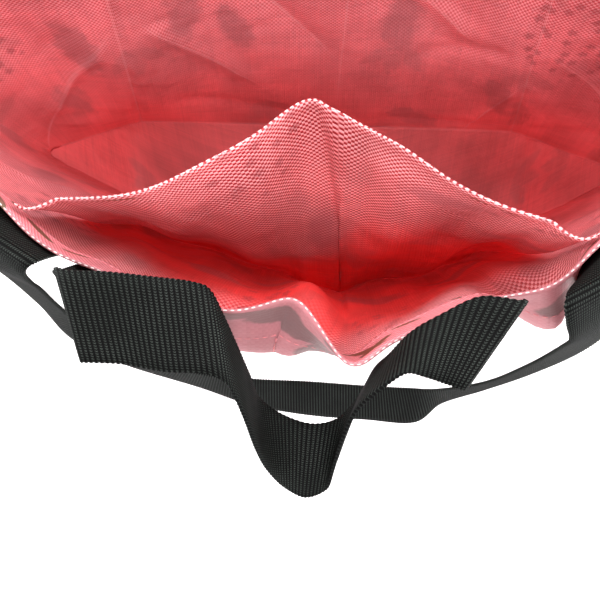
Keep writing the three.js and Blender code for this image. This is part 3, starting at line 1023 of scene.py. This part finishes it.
HEM_STROKES = table(
    ["at", "level", "length", "width", "turn"],
    [
        [7.35, 0.95, 34, 6, 62],
        [7.62, 0.965, 22, 5, 100],
        [8.15, 0.94, 18, 3, 75],
        [9.35, 0.96, 24, 5, 95],
        [2.75, 0.955, 28, 6, 80],
        [3.4, 0.95, 18, 4, 110],
        [5.9, 0.95, 22, 4, 85],
        [10.6, 0.955, 26, 5, 70],
    ],
)
RIM_STROKES = table(
    ["at", "level", "length", "width", "turn"],
    [
        [4.9, 0.985, 50, 7, 90],
        [5.75, 0.97, 40, 10, 94],
        [6.25, 0.955, 34, 9, 84],
        [6.72, 0.93, 30, 15, 40],
        [6.9, 0.985, 22, 7, 100],
        [10.4, 0.95, 40, 12, 80],
        [2.6, 0.96, 44, 12, 95],
        [1.0, 0.96, 50, 10, 88],
        [12.5, 0.965, 46, 12, 92],
        [14.5, 0.97, 50, 10, 90],
        [16.5, 0.95, 56, 14, 86],
        [18.0, 0.965, 60, 12, 94],
        [19.5, 0.95, 56, 14, 84],
        [21.0, 0.965, 50, 12, 92],
    ],
)

# Fold ridges painted pale pink as a painted highlight, from one place on the cloth to another.
FOLD_HIGHLIGHTS = table(
    ["at1", "level1", "at2", "level2", "width"],
    [
        [20, 0.0, 20.0, 0.9, 2.0],
        [16, 0.0, 16.02, 0.9, 2.0],
        [20.2, 0.46, 21.5, 0.12, 3.4],
        [21.85, 0.02, 21.2, 0.2, 1.8],
        [21.9, 0.02, 22.6, 0.12, 1.8],
        [17.75, 0.85, 17.85, 0.2, 1.4],
        [18.9, 0.62, 18.0, 0.34, 3.0],
        [17.5, 0.58, 16.6, 0.42, 2.6],
        [19.75, 0.5, 18.7, 0.2, 1.8],
        [16.5, 0.02, 16.05, 0.3, 1.8],
        [15.8, 0.45, 14.6, 0.2, 2.2],
        [14, 0.1, 14, 0.95, 1.6],
        [0, 0.1, 0, 0.95, 1.6],
    ],
)
# Strokes on the pocket's hem, in millimetres of its own cloth: u, v, length, width and turn.
POCKET_STROKES = [(52.0, 205.0, 34.0, 4.0, 84.0), (72.0, 203.0, 20.0, 3.0, 100.0)]
POCKET_STROKES += [(262.0, 204.0, 34.0, 4.5, 98.0), (286.0, 203.0, 24.0, 5.0, 80.0)]


def on_cloth(marks):
    """Marks as (u, v, length, width, turn) in millimetres and degrees."""
    return [
        (
            float(along_cloth(np.array(float(mark["at"])))),
            mark["level"] * RIM_HEIGHT,
            mark["length"],
            mark["width"],
            mark["turn"],
        )
        for mark in marks
    ]


def folds_on_cloth(folds):
    """Folds as marks: long thin ovals from end to end."""
    marks = []
    for fold in folds:
        start, end = along_cloth(np.array([fold["at1"], fold["at2"]], float))
        low, high = fold["level1"] * RIM_HEIGHT, fold["level2"] * RIM_HEIGHT
        turn = degrees(atan2(end - start, high - low))
        length = hypot(end - start, high - low)
        marks.append(((start + end) / 2, (low + high) / 2, length, fold["width"], turn))
    return marks


# The scatter of sprigs and blossoms, in metres
LEAF_SPACING = 0.105
LEAF_LENGTH = 0.034
LEAF_SPREAD = 0.75  # turn between the leaves of a sprig, in radians
BLOSSOM_SPACING = 0.0135
BLOSSOM_RADIUS = 0.0036
PETALS = 5


def turned(finish, vector, angle):
    inputs = {"Vector": vector, "Angle": angle}
    return finish.node("ShaderNodeVectorRotate", inputs, rotation_type="Z_AXIS").outputs[0]


def vectors(finish, operation, *values):
    inputs = dict(enumerate(values))
    return finish.node("ShaderNodeVectorMath", inputs, operation=operation).outputs


def brushed_marks(finish, place, marks, ragged, soft):
    """Ovals with ragged edges, as dabs of a wide brush."""
    uneven = finish.math("SUBTRACT", finish.noise(place, 90.0, 3.0, 0.6), 0.5)
    frayed = finish.math("MULTIPLY", uneven, ragged)
    covered = None
    for u, v, length, width, turn in marks:
        own = vectors(finish, "SUBTRACT", place, (u * MM, v * MM, 0))[0]
        upright = turned(finish, own, radians(turn))
        oval = vectors(finish, "MULTIPLY", upright, (2 / (width * MM), 2 / (length * MM), 0))[0]
        depth = finish.math("SUBTRACT", 1.0, vectors(finish, "LENGTH", oval)["Value"])
        covered = depth if covered is None else finish.math("MAXIMUM", covered, depth)
    return finish.step(finish.math("ADD", covered, frayed), -soft, soft)


def scattered(finish, place, spacing, randomness):
    """Cells of a loose scatter: the way from each cell's middle, and its random colour."""
    inputs = {"Vector": place, "Scale": 1 / spacing, "Randomness": randomness}
    cells = finish.node("ShaderNodeTexVoronoi", inputs, voronoi_dimensions="2D").outputs
    return vectors(finish, "SUBTRACT", place, cells["Position"])[0], cells["Color"]


def leaf_marks(finish, place, soft):
    """Sprigs of three leaves, one in each cell of a loose scatter, turned any way."""
    own, chance = scattered(finish, place, LEAF_SPACING, 0.7)
    turn = finish.math("MULTIPLY", finish.split(chance)[0], 2 * pi)
    marks = None
    for spread in (0.0, LEAF_SPREAD, -LEAF_SPREAD):
        x, y = finish.split(turned(finish, own, finish.math("ADD", turn, spread)))
        from_middle = finish.math("SUBTRACT", x, LEAF_LENGTH * 0.55)
        share = finish.math("ABSOLUTE", finish.math("DIVIDE", from_middle, LEAF_LENGTH / 2))
        taper = finish.math("SUBTRACT", 1.0, finish.math("POWER", share, 2.0))
        width = finish.math("MULTIPLY", taper, LEAF_LENGTH * 0.2)
        inside = finish.math("SUBTRACT", width, finish.math("ABSOLUTE", y))
        leaf = finish.step(inside, -soft, soft + 0.0004)
        marks = leaf if marks is None else finish.math("MAXIMUM", marks, leaf)
    return marks


def blossom_marks(finish, place, soft):
    """Small five-petalled blossoms, in groups."""
    own = scattered(finish, place, BLOSSOM_SPACING, 0.8)[0]
    x, y = finish.split(own)
    turn = finish.math("MULTIPLY", finish.math("ARCTAN2", y, x), PETALS / 2)
    petals = finish.math("ABSOLUTE", finish.math("COSINE", turn))
    reach = finish.math("ADD", finish.math("MULTIPLY", petals, 0.45), 0.55)
    edge = finish.math("MULTIPLY", reach, BLOSSOM_RADIUS)
    far = vectors(finish, "LENGTH", own)["Value"]
    flower = finish.step(finish.math("SUBTRACT", edge, far), -soft, soft)
    group = brushed_marks(finish, place, on_cloth(BLOSSOM_GROUPS), 0.6, 0.1)
    return finish.math("MULTIPLY", flower, group)


# The painted shade of deeper red, low in the bag and in the pocket, reaches highest at this place
# along the cloth, in metres: on the wall in front of the pocket's middle, and at the right end of
# the panel's own cloth.
SHADE_HIGHEST_AT = 0.309
PALER_FROM, PALER_TO = 0.05, 0.17  # metres from there, between which it comes down
# The pale pink of the painted highlight on the folds' ridges.
HIGHLIGHT_PINK = (1.0, 0.62, 0.64)
GLOW = (0.95, 0.2, 0.21)
# How the print looks on its own side and through the cloth: soft edges in metres, the
# large leaves' soft edge, the strength of the sprigs and the two colours.
CLEAR_PRINT = (0.0004, 0.06, 1.0, (0.1, 0.09, 0.05), (0.2, 0.04, 0.04))
FAINT_PRINT = (0.0024, 0.4, 0.45, (0.34, 0.13, 0.15), (0.22, 0.05, 0.06))


def shaded_low_down(finish, place, u, v, colour, deep):
    """The cloth's colour with a deeper one low down, up to an uneven edge: painted shade in the
    bag's and the pocket's depths. deep is that colour, the heights where it begins to fade and
    ends, and how much lower its edge lies away from the place where the shade reaches highest."""
    low_shade_colour, start, end, paler = deep
    uneven = finish.step(finish.noise(place, 14.0, 2.0), 0.3, 0.7, -0.016, 0.016)
    beside = finish.math("ABSOLUTE", finish.math("SUBTRACT", u, SHADE_HIGHEST_AT))
    raised = finish.math("ADD", uneven, finish.step(beside, PALER_FROM, PALER_TO, 0.0, paler))
    shown = finish.step(finish.math("ADD", v, raised), start, end)
    return finish.mix(shown, low_shade_colour, colour)


def toned(finish, place, u, v, colour):
    """The colour with lighter and darker tapes, and with soft darker patches."""
    tones = finish.step(tape_tones(finish, place, u, v), 0.6, 1.4, 0.84, 1.1)
    patches = finish.step(finish.noise(place, 11.0, 2.0, 0.45), 0.36, 0.62, 0.8, 1.06)
    tone = finish.math("MULTIPLY", tones, patches)
    grey = finish.node("ShaderNodeCombineXYZ", {"X": tone, "Y": tone, "Z": tone}).outputs[0]
    return finish.mix(1.0, colour, grey, "MULTIPLY")


def printed(finish, place, colour, strength, clear):
    """The colour with the print's leaves, sprigs and blossoms."""
    soft, large_soft, sprig_share, leaf_colour, blossom_colour = CLEAR_PRINT if clear else FAINT_PRINT
    large = brushed_marks(finish, place, on_cloth(LARGE_LEAVES), 1.5, large_soft)
    sprigs = finish.math("MULTIPLY", leaf_marks(finish, place, soft), sprig_share)
    leaves = finish.math("MAXIMUM", large, sprigs)
    blossoms = blossom_marks(finish, place, soft * 0.6)
    colour = finish.mix(finish.math("MULTIPLY", leaves, strength), colour, leaf_colour)
    return finish.mix(finish.math("MULTIPLY", blossoms, strength), colour, blossom_colour)


def woven(
    name, light, dark, contrast, weave_heights, print_share, clear, film, through,
    deep=None, highlight_strength=0, strokes=(), stroke_colour=(0.085, 0.055, 0.012),
):
    """Woven tapes, light and dark. contrast is how much of the weave shows low down and high
    up, between the two heights. print_share is how strongly the print shows, and clear says
    that this is the printed side. film is the gloss of the film and through the light let
    through. deep is a deeper colour low down, painted shade in the bag's depths, and the
    strength after it is how far the folds' ridges are painted pale pink as a painted highlight.
    strokes are brush strokes that this side has of its own."""
    finish = Finish(name)
    place = finish.cloth_place()
    u, v = finish.split(place)
    crossing = weave(finish, u, v)
    top = finish.step(crossing, -0.35, 0.35)
    shown = finish.step(v, *weave_heights, *contrast)
    middle = tuple((a + b) / 2 for a, b in zip(light, dark))
    colour = finish.mix(shown, middle, finish.mix(top, dark, light))
    if deep:
        colour = shaded_low_down(finish, place, u, v, colour, deep)
    colour = toned(finish, place, u, v, colour)
    # Painted highlight: the ridges of the folds are painted pale pink.
    if highlight_strength:
        pale = brushed_marks(finish, place, folds_on_cloth(FOLD_HIGHLIGHTS), 0.7, 0.5)
        colour = finish.mix(finish.math("MULTIPLY", pale, highlight_strength), colour, HIGHLIGHT_PINK)
    colour = printed(finish, place, colour, print_share, clear)
    if strokes:
        brushed = brushed_marks(finish, place, strokes, 0.7, 0.12)
        colour = finish.mix(finish.math("MULTIPLY", brushed, 0.85), colour, stroke_colour)
    crown = finish.math("POWER", finish.math("ABSOLUTE", crossing), 0.6)
    crumple = finish.noise(place, 55.0, 3.0, 0.55)
    normal = finish.bumps((crumple, 0.7, 2.6), (crown, 0.3 if clear else 0.55, 0.35))
    rough = finish.step(finish.noise(place, 26.0, 2.0), 0.3, 0.7, 0.36, 0.52)
    shader = finish.node(
        "ShaderNodeBsdfPrincipled",
        {
            "Base Color": colour,
            "Roughness": rough,
            "Normal": normal,
            "Coat Weight": film,
            "Coat Roughness": 0.3,
            "Specular IOR Level": 0.1 if clear else 0.5,
        },
    )
    glow = finish.node("ShaderNodeBsdfTranslucent", {"Color": finish.mix(0.5, colour, GLOW)})
    both = finish.node("ShaderNodeMixShader", {0: through, 1: shader.outputs[0], 2: glow.outputs[0]})
    return finish.shown_by(both)


def webbing_finish():
    """Black webbing: each rib is a row of small slanted stitches that meet in chevrons."""
    finish = Finish("black ribbed webbing")
    place = finish.cloth_place()
    u, v = finish.split(place)
    rib = finish.math("ADD", finish.math("DIVIDE", v, RIB_PITCH * MM), 0.5)
    from_crown = finish.math("ABSOLUTE", finish.math("SUBTRACT", finish.math("FRACT", rib), 0.5))
    crown = finish.step(finish.math("SUBTRACT", 0.5, from_crown), 0.1, 0.42)
    row = finish.math("DIVIDE", u, STITCH_IN_RIB * MM)
    slant = finish.math("ADD", row, finish.math("MULTIPLY", from_crown, 1.5))
    strand = finish.math("ABSOLUTE", finish.math("SINE", finish.math("MULTIPLY", slant, pi)))
    # Painted highlight: the crowns of the raised stitches are painted a lighter green-grey, speckled and
    # stronger in patches, over near-black.
    raised = finish.step(strand, 0.3, 1.0)
    fuzz = finish.noise(place, 1500.0, 2.0)
    speckled_highlight = finish.step(fuzz, 0.3, 0.7, 0.6, 1.1)
    light = finish.math("MULTIPLY", finish.math("MULTIPLY", raised, crown), speckled_highlight)
    highlight_strength = finish.step(finish.noise(place, 45.0, 3.0), 0.3, 0.75, 0.75, 1.2)
    tone = finish.math("MULTIPLY", light, highlight_strength)
    colour = finish.mix(tone, (0.0015, 0.0014, 0.0014), (0.034, 0.039, 0.035))
    normal = finish.bumps((finish.math("MULTIPLY", strand, crown), 0.8, 0.4), (fuzz, 0.3, 0.1))
    shader = finish.node(
        "ShaderNodeBsdfPrincipled",
        {"Base Color": colour, "Roughness": 0.7, "Specular IOR Level": 0.05, "Normal": normal},
    )
    return finish.shown_by(shader)


def plain_finish(name, colour, rough, noise_scale=400.0, least=0.75):
    """Thread or bare tape: one colour, a little uneven, down to a share of itself."""
    finish = Finish(name)
    place = finish.node("ShaderNodeTexCoord").outputs["Object"]
    uneven = finish.step(finish.noise(place, noise_scale, 2.0), 0.3, 0.7)
    dull = tuple(part * least for part in colour)
    shade = finish.mix(uneven, dull, colour)
    shader = finish.node("ShaderNodeBsdfPrincipled", {"Base Color": shade, "Roughness": rough})
    return finish.shown_by(shader)


def inside_wall(at, level, inwards):
    """Points inside the creased wall, a distance in from its outer face."""
    return seen_wall(at, level) - wall_normal(at, level) * inwards


# Sewing: points along each line, and small distances from the cloth in millimetres
RIM_POINTS = 1400
TOP_POINTS = 500
FOOT_POINTS = 400
SIDE_POINTS = 200
HEM_SEAM_DEPTH = HEM_DEPTH - 4
IN_THREAD = 0.05  # how far a hem stitch's middle stands off the cloth
TOWARDS_BAG = np.array([0, 0.5, 0])  # from the panel's middle to its seams
BOX_TOP = 8.0  # millimetres below the top of a handle's sewn end
BOX_BOTTOM = 46.0
BOX_SIDE = 0.12  # share of the webbing's width between its edge and the box
BOX_POINTS = 24
ON_BAND = WEBBING / 2 + 0.25
ON_RIM = np.array([0, 0, 0.2])
ON_TOP = np.array([0, 0, 0.3])


def rim_lines():
    """The line of bends of tape along the folded rim."""
    at = np.linspace(0, LINES, RIM_POINTS)
    top = np.full_like(at, 1.0)
    return [inside_wall(at, top, HEM_CLOTH * 0.5) + ON_RIM]


def hem_seams():
    """The seam that holds the hem, on the inside and on the outside."""
    at = np.linspace(0, LINES, RIM_POINTS)
    level = np.full_like(at, 1 - HEM_SEAM_DEPTH / RIM_HEIGHT)
    return [inside_wall(at, level, HEM_CLOTH + IN_THREAD), inside_wall(at, level, -IN_THREAD)]


def pocket_top_line():
    """The line of bends of tape along the panel's folded top."""
    place = np.linspace(0, SPANS, TOP_POINTS)
    return [pocket_point(place, np.full_like(place, 1.0)) + ON_TOP]


def pocket_seams():
    """The seams at the panel's foot and at its two sides."""
    place = np.linspace(0.05, SPANS - 0.05, FOOT_POINTS)
    foot = seen_panel(place, np.full_like(place, 0.02)) + TOWARDS_BAG
    height = np.linspace(0.02, 0.97, SIDE_POINTS)
    sides = [pocket_point(np.full_like(height, at), height) for at in (0.18, SPANS - 0.18)]
    return [foot] + [side + TOWARDS_BAG for side in sides]


def box_and_cross(at, near_first):
    """The seam that holds a handle's end: a box with its diagonals."""
    low = SEWN_TOP - BOX_BOTTOM / RIM_HEIGHT
    high = SEWN_TOP - BOX_TOP / RIM_HEIGHT
    corners = [(BOX_SIDE, low), (1 - BOX_SIDE, low), (1 - BOX_SIDE, high), (BOX_SIDE, high)]
    runs = [(0, 1), (1, 2), (2, 3), (3, 0), (0, 2), (1, 3)]
    lines = []
    for start, end in runs:
        share = np.linspace(0, 1, BOX_POINTS)[:, None]
        path = np.array(corners[start]) * (1 - share) + np.array(corners[end]) * share
        line = []
        for across, level in path:
            row = sewn_row(at, level, near_first)
            place = across * (ACROSS - 1)
            whole = min(int(place), ACROSS - 2)
            point = row[whole] + (row[whole + 1] - row[whole]) * (place - whole)
            normal = wall_normal(np.array([at]), np.array([level]))[0]
            line.append(point + normal * ON_BAND)
        lines.append(np.array(line))
    return lines


CAMERA_PLACE = Vector((12.58, -149.55, 552.0)) * MM
CAMERA_RIGHT = Vector((0.99739, 0.05053, -0.0515))
CAMERA_UP = Vector((-0.04443, 0.99256, 0.1133))
CAMERA_LENS = 34.68
SENSOR = 36
NEAREST = 0.01


def camera():
    lens = bpy.data.cameras.new("camera")
    lens.lens = CAMERA_LENS
    lens.sensor_width = SENSOR
    lens.clip_start = NEAREST
    eye = bpy.data.objects.new("camera", lens)
    back = CAMERA_RIGHT.cross(CAMERA_UP)
    turn = Matrix((CAMERA_RIGHT, CAMERA_UP, back)).transposed().to_4x4()
    eye.matrix_world = Matrix.Translation(CAMERA_PLACE) @ turn
    bpy.context.scene.collection.objects.link(eye)
    bpy.context.scene.camera = eye


LIGHT_SIZE = 0.9
# Soft lights: name, place, aim and power.
LIGHTS = [
    ("left window", (-1.5, 0.3, 0.7), (-0.2, 0.03, 0.2), 50),
    ("right window", (1.5, 0.1, 0.7), (0.2, 0.03, 0.2), 42),
    ("front", (0.1, -0.9, 1.7), (0, 0.1, 0.25), 26),
    ("behind", (0.25, 0.7, 1.7), (0, -0.06, 0.2), 30),
]
FLOOR_REACH = 3.0
FLOOR_DROP = 0.001
PALE_FLOOR = (0.93, 0.93, 0.93)


def soft_light(name, place, aim, power):
    lamp = bpy.data.lights.new(name, "AREA")
    lamp.energy = power
    lamp.size = LIGHT_SIZE
    light = bpy.data.objects.new(name, lamp)
    light.location = place
    light.rotation_euler = (Vector(aim) - Vector(place)).to_track_quat("-Z", "Y").to_euler()
    bpy.context.scene.collection.objects.link(light)


def studio():
    mesh = bpy.data.meshes.new("floor")
    sides = (-FLOOR_REACH, FLOOR_REACH)
    corners = [(x, y, 0) for y in sides for x in sides]
    mesh.from_pydata(corners, [], [(0, 1, 3, 2)])
    mesh.materials.append(plain_finish("pale floor", PALE_FLOOR, 0.8, 3.0, 1.0))
    floor = bpy.data.objects.new("floor", mesh)
    floor.location = (0, 0, -FLOOR_DROP)
    bpy.context.scene.collection.objects.link(floor)
    world = bpy.data.worlds.new("studio")
    world.use_nodes = True
    world.node_tree.nodes["Background"].inputs["Color"].default_value = (1, 1, 1, 1)
    world.node_tree.nodes["Background"].inputs["Strength"].default_value = 1.0
    bpy.context.scene.world = world
    bpy.context.scene.view_settings.view_transform = "Standard"
    for name, place, aim, power in LIGHTS:
        soft_light(name, place, aim, power)


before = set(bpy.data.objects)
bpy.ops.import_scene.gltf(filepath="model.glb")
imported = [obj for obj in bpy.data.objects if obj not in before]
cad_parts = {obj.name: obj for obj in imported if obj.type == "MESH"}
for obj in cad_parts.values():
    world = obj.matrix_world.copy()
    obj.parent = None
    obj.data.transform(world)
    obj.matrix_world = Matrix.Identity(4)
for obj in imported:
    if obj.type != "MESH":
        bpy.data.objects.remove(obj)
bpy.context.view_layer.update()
camera()
studio()

# The tapes' pink and reds, and the heights in metres between which the weave grows clearer
PALE_TAPE = (1.0, 0.5, 0.52)
DARK_TAPE = (0.34, 0.018, 0.026)
# The saturated red below is the painted shade low in the pocket.
POCKET_SHADE_RED = (1.0, 0.07, 0.066)
HIGH_WEAVE = (0.05, 0.22)

outside = woven(
    "printed film outside", light=(0.5, 0.22, 0.24), dark=(0.33, 0.12, 0.135),
    contrast=(0.12, 0.12), weave_heights=HIGH_WEAVE, print_share=0.9, clear=True, film=0.03,
    through=0.2, strokes=on_cloth(RIM_STROKES), stroke_colour=(0.14, 0.1, 0.1),
)
# The inside is a deeper red from the bottom up to about 14 cm: painted shade low in the bag. Its folds'
# ridges get a painted highlight.
inside = woven(
    "tapes inside", light=(1.0, 0.5, 0.53), dark=(0.62, 0.09, 0.11),
    contrast=(0.25, 1.0), weave_heights=HIGH_WEAVE, print_share=0.42, clear=False, film=0.12,
    through=0.4, deep=((0.92, 0.19, 0.2), -0.01, 0.14, 0.0), highlight_strength=0.24,
)
hem_inside = woven(
    "folded hem", light=(0.95, 0.42, 0.45), dark=(0.6, 0.1, 0.13),
    contrast=(0.9, 0.9), weave_heights=HIGH_WEAVE, print_share=0.85, clear=True, film=0.2,
    through=0.3, strokes=on_cloth(HEM_STROKES),
)
# The panel is deep red low down, reaching highest at the pocket's middle: painted shade in the pocket.
pocket_side = woven(
    "pocket tapes", light=PALE_TAPE, dark=DARK_TAPE,
    contrast=(0.4, 1.0), weave_heights=(0.05, 0.13), print_share=0.42, clear=False, film=0.05,
    through=0.3, deep=(POCKET_SHADE_RED, 0.1, 0.175, 0.09),
)
pocket_hem = woven(
    "folded pocket hem", light=PALE_TAPE, dark=DARK_TAPE,
    contrast=(1.0, 1.0), weave_heights=HIGH_WEAVE, print_share=0.42, clear=False, film=0.05,
    through=0.35, strokes=POCKET_STROKES,
)
# The wall inside the pocket is a darker copy of the inside tapes, deep red up to near the pocket's top:
# painted shade in the pocket.
shaded_pocket_wall = woven(
    "wall inside the pocket", light=(1.0, 0.46, 0.48), dark=(0.5, 0.04, 0.05),
    contrast=(0.3, 1.0), weave_heights=(0.18, 0.25), print_share=0.35, clear=False, film=0.05,
    through=0.4, deep=(POCKET_SHADE_RED, 0.215, 0.268, 0.05),
)
webbing = webbing_finish()
bare_tape = plain_finish("bare tape at folds", (0.74, 0.52, 0.51), 0.5)
red_thread = plain_finish("coral thread", (0.7, 0.2, 0.22), 0.6)
deep_thread = plain_finish("deep red thread", (0.5, 0.03, 0.03), 0.6)
black_thread = plain_finish("black thread", (0.02, 0.02, 0.02), 0.6)

ribs = webbing_ribs_tree()
stitches = stitches_tree()

body = sack_body([outside, inside, hem_inside, shaded_pocket_wall])
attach(body, "root")
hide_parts("sack_body")

pocket = inner_pocket([pocket_side, inside, pocket_hem])
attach(pocket, "root")
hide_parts("inner_pocket")

on_body = []
on_pocket = []
# Each seam's name, lines, thread, pitch, length, radius, slot and the seams it goes with.
SEAMS = [
    ("rim_fold", rim_lines(), bare_tape, 2 * TAPE, 2.0, 0.38, "sack_cloth", on_body),
    ("hem_seam", hem_seams(), red_thread, 4.2, 3.0, 0.22, "sack_cloth", on_body),
    ("pocket_fold", pocket_top_line(), bare_tape, 2 * TAPE, 2.0, 0.32, "pocket_cloth", on_pocket),
    ("pocket_seam", pocket_seams(), deep_thread, 4.2, 3.0, 0.2, "pocket_cloth", on_pocket),
]
for name, lines, thread, pitch, length, radius, slot, group in SEAMS:
    seam = sewn_line(name, lines, stitches, thread, pitch, length, radius)
    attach(seam, "root")
    group.append(seam)

# Each handle's name, free edges and the side on which its near edge starts.
HANDLES = [
    ("front_short", SHORT_FRONT, 1),
    ("front_long", LONG_FRONT, -1),
    ("back_short", both_halves(SHORT_BACK_HALF), 1),
    ("back_long", both_halves(LONG_BACK_HALF), 1),
]
for name, free, near_first in HANDLES:
    ends = HANDLE_ENDS[name]
    band, length = handle(name + "_webbing", handle_rows(free, ends, near_first), ribs, webbing)
    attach(band, "root")
    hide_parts(name + "_handle")
    crosses = box_and_cross(ends[0], near_first) + box_and_cross(ends[1], -near_first)
    seam = sewn_line(name + "_seam", crosses, stitches, black_thread, 3.4, 2.6, 0.3)
    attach(seam, "root")
